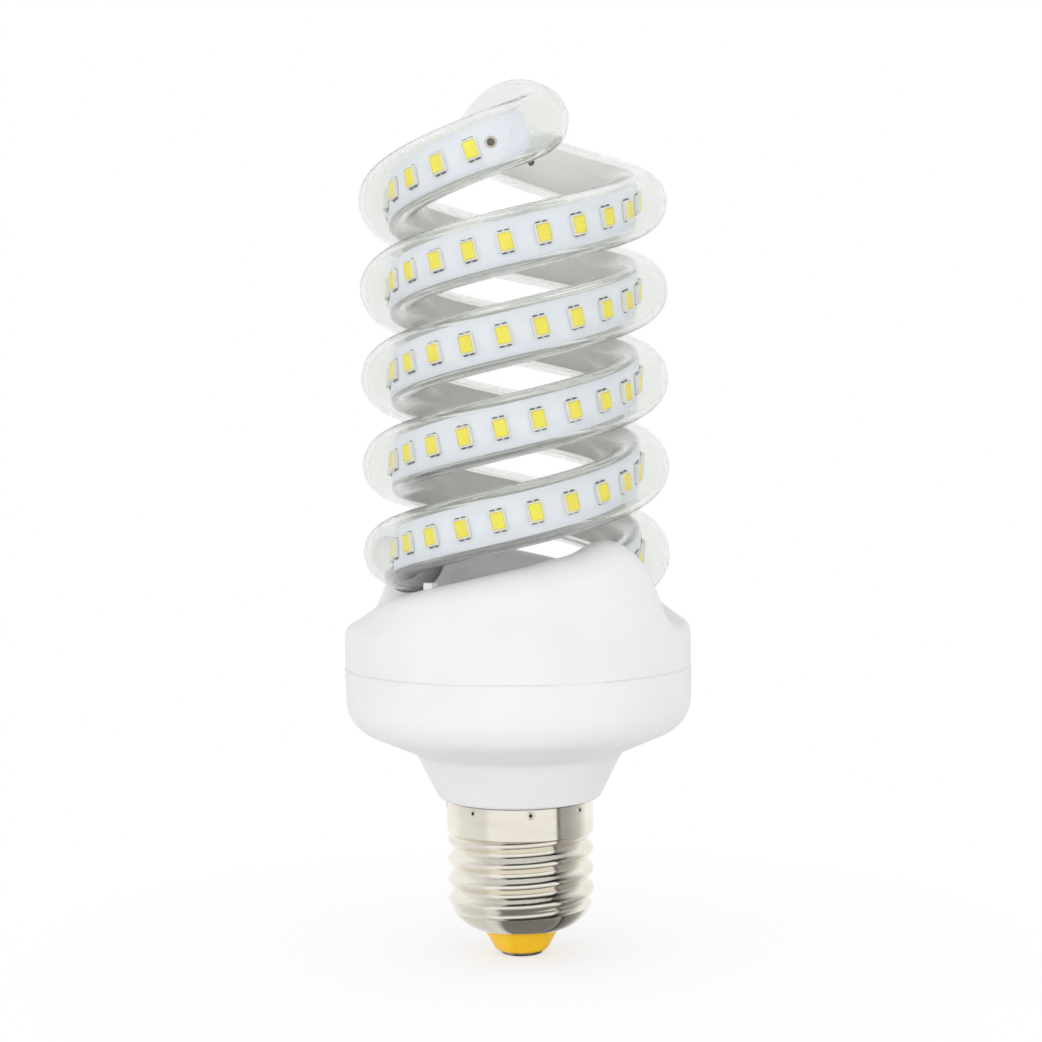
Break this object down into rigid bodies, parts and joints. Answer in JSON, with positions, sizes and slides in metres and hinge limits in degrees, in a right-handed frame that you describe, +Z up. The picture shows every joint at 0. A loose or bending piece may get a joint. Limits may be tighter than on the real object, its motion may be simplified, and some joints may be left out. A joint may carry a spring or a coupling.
{
  "type": "spiral led bulb",
  "caption": "Screw-in lamp with LED strips inside a clear double-spiral glass tube, on a white two-part plastic base with a threaded metal cap.",
  "frame": {"origin": "tip of the centre contact, at the bottom of the lamp on its axis", "axes": "+Z runs up the lamp's axis from the cap to the spiral's top, -Y is the front in the picture, +X is to the right"},
  "size_m": [0.062, 0.062, 0.1559],
  "materials": {
    "clear_glass": "clear drawn tube",
    "strip_white": "white solder mask",
    "led_frame": "moulded cream",
    "phosphor": "yellow phosphor",
    "lead_insulation": "red insulation",
    "silicone": "translucent white",
    "cover_white": "fine satin moulding",
    "housing_white": "fine satin moulding",
    "nickel": "bright nickel plate",
    "insulator_orange": "moulded orange",
    "contact_metal": "dull plated",
    "board_green": "solder mask",
    "capacitor_sleeve": "shrink sleeve",
    "film_coat": "dipped",
    "ferrite": "sintered",
    "copper": "enamelled wire",
    "chip_black": "moulded package",
    "fuse_body": "coated"
  },
  "bodies": {
    "root": {"glass_spiral": "clear_glass", "led_strip_a": "strip_white", "led_strip_b": "strip_white", "led_packages_a": "led_frame", "led_packages_b": "led_frame", "led_phosphors_a": "phosphor", "led_phosphors_b": "phosphor", "strip_leads_a": "lead_insulation", "strip_leads_b": "lead_insulation", "tube_plug_a": "silicone", "tube_plug_b": "silicone", "upper_cover": "cover_white", "lower_housing": "housing_white", "screw_shell": "nickel", "insulator": "insulator_orange", "centre_contact": "contact_metal", "driver_board": "board_green", "bulk_capacitor": "capacitor_sleeve", "film_capacitor": "film_coat", "inductor_core": "ferrite", "inductor_winding": "copper", "driver_chip": "chip_black", "bridge_rectifier": "chip_black", "fuse_resistor": "fuse_body", "live_lead": "lead_insulation", "neutral_lead": "copper"}
  },
  "joints": []
}
